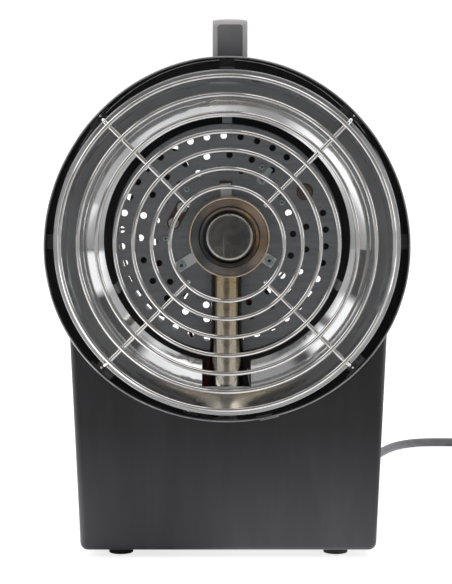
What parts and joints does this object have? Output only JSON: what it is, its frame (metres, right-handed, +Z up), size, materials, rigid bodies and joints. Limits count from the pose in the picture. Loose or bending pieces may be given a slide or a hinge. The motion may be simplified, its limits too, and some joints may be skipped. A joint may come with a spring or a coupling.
{
  "type": "radiant heater",
  "caption": "Portable fan-assisted bowl heater: black drum with a polished reflector, an emitter head on a stem, a wire guard, a carrying handle and a tapered base.",
  "frame": {"origin": "middle of the footprint of the object without its mains lead, on the surface it stands on", "axes": "-Y is the front, with the guard; +X is to the right seen from the front; +Z is up"},
  "size_m": [0.5312, 0.5297, 0.4423],
  "materials": {
    "drum_black": "gloss black enamel",
    "polished_steel": "mirror polished",
    "plate_steel": "bright rolled sheet",
    "heat_tinted_steel": "heat-tinted, worn",
    "stem_chrome": "bright plated, tinted towards the head",
    "guard_chrome": "bright plated wire",
    "zinc": "zinc plated",
    "base_black": "satin black enamel",
    "handle_silver": "satin anodised",
    "handle_dark": "fine texture",
    "ceramic": "unglazed ceramic",
    "element_wire": "oxidised resistance wire",
    "phenolic": "moulded phenolic",
    "black_plastic": "fine spark texture",
    "fan_aluminium": "mill finish",
    "motor_steel": "plain steel",
    "rubber_black": "matt",
    "cord_rubber": "matt, dark grey",
    "pin_brass": "nickel-plated",
    "red_insulation": "silicone sleeving"
  },
  "bodies": {
    "heater": {"back_plate": "plate_steel", "base_housing": "base_black", "bowl_brackets": "drum_black", "bushing_plate": "phenolic", "ceramic_bushings": "ceramic", "ceramic_core": "ceramic", "cord_clamp": "phenolic", "cord_coil": "cord_rubber", "cord_gland": "rubber_black", "cord_tail": "cord_rubber", "cradle_screws": "zinc", "cup_screws": "zinc", "drum_cradles": "drum_black", "drum_joint_strip": "drum_black", "drum_shell": "drum_black", "earth_tag": "zinc", "emitter_cap": "heat_tinted_steel", "emitter_cup": "heat_tinted_steel", "emitter_dish": "heat_tinted_steel", "fan_motor": "motor_steel", "fan_shroud": "drum_black", "foot_screws": "zinc", "front_screws": "zinc", "grille_brackets": "drum_black", "grille_rings": "guard_chrome", "grille_screws": "zinc", "grille_spokes": "guard_chrome", "guard_clips": "drum_black", "guard_rings": "guard_chrome", "guard_spokes": "guard_chrome", "handle_frame": "handle_silver", "handle_inlays": "handle_dark", "handle_screws": "zinc", "heating_coil": "element_wire", "mains_plug": "rubber_black", "motor_bracket": "drum_black", "motor_screws": "zinc", "plate_brackets": "polished_steel", "plate_screws": "zinc", "plug_pins": "pin_brass", "power_cord": "cord_rubber", "rear_panel": "base_black", "rear_panel_screws": "zinc", "red_leads": "red_insulation", "reflector_bowl": "polished_steel", "rubber_feet": "rubber_black", "stem_sleeve": "stem_chrome", "stem_socket": "zinc", "stem_tube": "stem_chrome", "switch_body": "phenolic", "terminal_block": "phenolic", "thermal_cutout": "phenolic", "thermostat_body": "phenolic", "tip_switch_body": "phenolic"},
    "fan": {"fan_impeller": "fan_aluminium", "fan_shaft": "zinc"},
    "knob": {"thermostat_knob": "black_plastic"},
    "rocker": {"power_rocker": "black_plastic"},
    "plunger": {"tip_plunger": "black_plastic"}
  },
  "joints": [
    {"name": "fan_spin", "type": "hinge", "parent": "heater", "child": "fan", "pos_m": [0, -0.01, 0.262], "axis": [0, 1, 0], "continuous": true},
    {"name": "knob_turn", "type": "hinge", "parent": "heater", "child": "knob", "pos_m": [-0.05, 0.0775, 0.072], "axis": [0, 1, 0], "range_deg": [0, 270]},
    {"name": "rocker_tilt", "type": "hinge", "parent": "heater", "child": "rocker", "pos_m": [0.02, 0.064, 0.072], "axis": [1, 0, 0], "range_deg": [0, 12]},
    {"name": "plunger_drop", "type": "slide", "parent": "heater", "child": "plunger", "axis": [0, 0, 1], "range_m": [-0.005, 0]}
  ]
}
